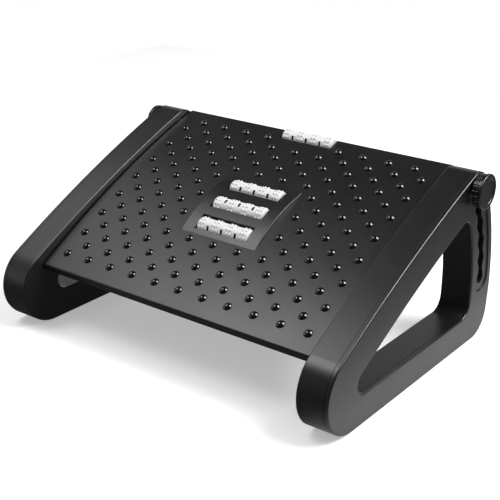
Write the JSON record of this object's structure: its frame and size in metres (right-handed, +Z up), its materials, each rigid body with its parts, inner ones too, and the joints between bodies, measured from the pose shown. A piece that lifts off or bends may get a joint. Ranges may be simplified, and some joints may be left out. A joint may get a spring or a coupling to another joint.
{
  "type": "tilting under desk footrest",
  "caption": "Tilting footrest: two triangular side frames carry a crowned, dimpled plate with massage rollers; a hand knob clamps it in a wavy height slot.",
  "frame": {"origin": "on the floor, under the middle of the whole width, hand knob included", "axes": "+X to the sitter's right, +Y away from the sitter towards the raised edge, +Z up"},
  "size_m": [0.4802, 0.342, 0.2109],
  "materials": {
    "frame_plastic": "fine satin texture, black",
    "plate_plastic": "fine satin texture, black",
    "knob_plastic": "fine satin texture, black",
    "bush_plastic": "plain black",
    "roller_plastic": "smooth white",
    "rubber": "matt black",
    "steel": "zinc plated"
  },
  "bodies": {
    "base": {"right_frame_shell": "frame_plastic", "left_frame_shell": "frame_plastic", "right_frame_cover": "frame_plastic", "left_frame_cover": "frame_plastic", "right_cover_screws": "steel", "left_cover_screws": "steel", "right_front_pad": "rubber", "left_front_pad": "rubber", "right_rear_pad": "rubber", "left_rear_pad": "rubber", "right_pivot_washer": "steel", "left_pivot_washer": "steel", "right_pivot_nut": "steel", "left_pivot_nut": "steel", "pivot_rod": "steel"},
    "plate": {"footplate": "plate_plastic", "front_roller_axle": "steel", "middle_roller_axle": "steel", "back_roller_axle": "steel", "edge_roller_axle": "steel", "roller_retainer": "plate_plastic", "retainer_screws": "steel", "clamp_rod": "steel", "rod_head": "knob_plastic", "head_washer": "steel", "right_rod_nut": "steel", "left_rod_nut": "steel", "right_slot_bush": "bush_plastic", "left_slot_bush": "bush_plastic"},
    "knob_washer": {"knob_washer": "steel"},
    "hand_knob": {"knob": "knob_plastic", "knob_insert": "steel", "knob_cap": "knob_plastic"},
    "front_roller": {"front_roller": "roller_plastic"},
    "middle_roller": {"middle_roller": "roller_plastic"},
    "back_roller": {"back_roller": "roller_plastic"},
    "edge_roller": {"edge_roller": "roller_plastic"}
  },
  "joints": [
    {"name": "plate_tilt", "type": "hinge", "parent": "base", "child": "plate", "pos_m": [-0.00405, -0.105, 0.068], "axis": [1, 0, 0], "range_deg": [-27.59, 0]},
    {"name": "knob_travel", "type": "slide", "parent": "plate", "child": "knob_washer", "axis": [1, 0, 0], "range_m": [0, 0.002]},
    {"name": "knob_turn", "type": "hinge", "parent": "knob_washer", "child": "hand_knob", "pos_m": [-0.00405, 0.11306, 0.19087], "axis": [1, 0, 0], "range_deg": [0, 720.5]},
    {"name": "front_roller_spin", "type": "hinge", "parent": "plate", "child": "front_roller", "pos_m": [-0.00405, -0.03584, 0.13192], "axis": [1, 0, 0], "continuous": true},
    {"name": "middle_roller_spin", "type": "hinge", "parent": "plate", "child": "middle_roller", "pos_m": [-0.00405, -0.00725, 0.14865], "axis": [1, 0, 0], "continuous": true},
    {"name": "back_roller_spin", "type": "hinge", "parent": "plate", "child": "back_roller", "pos_m": [-0.00405, 0.02378, 0.16024], "axis": [1, 0, 0], "continuous": true},
    {"name": "edge_roller_spin", "type": "hinge", "parent": "plate", "child": "edge_roller", "pos_m": [-0.00405, 0.12793, 0.19969], "axis": [1, 0, 0], "continuous": true}
  ],
  "couplings": [
    {"joint": "knob_turn", "follows": "knob_travel", "rad_per_m": 6283.2}
  ]
}
